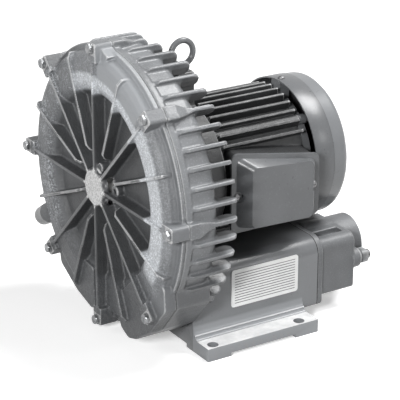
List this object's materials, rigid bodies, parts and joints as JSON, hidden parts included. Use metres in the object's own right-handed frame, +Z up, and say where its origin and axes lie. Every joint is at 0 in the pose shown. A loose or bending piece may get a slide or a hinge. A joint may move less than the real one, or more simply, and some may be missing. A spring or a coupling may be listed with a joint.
{
  "type": "side channel blower",
  "caption": "Side channel blower with ribbed round cover, finned casing, flanged finned motor, and a silencer base with feet and rear pipe ports.",
  "frame": {"origin": "centre of the four foot holes, on the floor plane under the foot pads", "axes": "+X along the shaft from the front cover to the fan cover, +Z up, terminal box on the -Y side"},
  "size_m": [0.299, 0.312, 0.321],
  "materials": {
    "cast_grey_paint": "satin grey paint over sand-cast aluminium, fine speckle",
    "smooth_grey_paint": "smooth satin grey paint on pressed sheet and machined castings",
    "steel_zinc": "zinc plated",
    "steel_bright": "ground",
    "steel_laminations": "varnished laminations",
    "aluminium_cast": "bare die casting",
    "copper_wire": "enamelled copper wire",
    "brass": "turned brass",
    "black_plastic": "moulded plastic",
    "black_rubber": "matt rubber",
    "gasket_fibre": "dark gasket sheet",
    "silencer_foam": "open cell foam",
    "white_plate": "blank white label plate"
  },
  "bodies": {
    "housing": {"front_cover": "cast_grey_paint", "rear_casing": "cast_grey_paint", "cover_bolts": "steel_zinc", "casing_screws": "steel_zinc", "base_screws": "steel_zinc", "shaft_seal": "black_rubber", "bearing_spring_washer": "steel_bright", "front_end_shield": "cast_grey_paint", "motor_frame": "cast_grey_paint", "rear_end_shield": "cast_grey_paint", "front_shield_screws": "steel_zinc", "rear_shield_screws": "steel_zinc", "stator_core": "steel_laminations", "stator_windings": "copper_wire", "fan_cover": "smooth_grey_paint", "fan_cover_screws": "steel_zinc", "terminal_lid": "smooth_grey_paint", "lid_gasket": "gasket_fibre", "lid_screws": "steel_zinc", "terminal_block": "black_plastic", "terminal_studs": "brass", "cable_bush": "black_rubber", "eyebolt": "smooth_grey_paint", "base_housing": "smooth_grey_paint", "base_gasket": "gasket_fibre", "right_end_cap": "cast_grey_paint", "left_end_cap": "cast_grey_paint", "cap_bolts": "steel_zinc", "cap_plug": "smooth_grey_paint", "nameplate": "white_plate", "front_bearing_outer_ring": "steel_bright", "rear_bearing_outer_ring": "steel_bright", "right_silencer": "silencer_foam", "left_silencer": "silencer_foam", "right_cap_gasket": "gasket_fibre", "left_cap_gasket": "gasket_fibre"},
    "rotor": {"shaft": "steel_bright", "impeller": "aluminium_cast", "impeller_key": "steel_bright", "impeller_washer": "steel_zinc", "impeller_nut": "steel_zinc", "front_bearing_inner_ring": "steel_bright", "rear_bearing_inner_ring": "steel_bright", "rotor_core": "steel_laminations", "cooling_fan": "black_plastic"}
  },
  "joints": [
    {"name": "rotor_spin", "type": "hinge", "parent": "housing", "child": "rotor", "pos_m": [0, 0, 0.165], "axis": [1, 0, 0], "continuous": true}
  ]
}
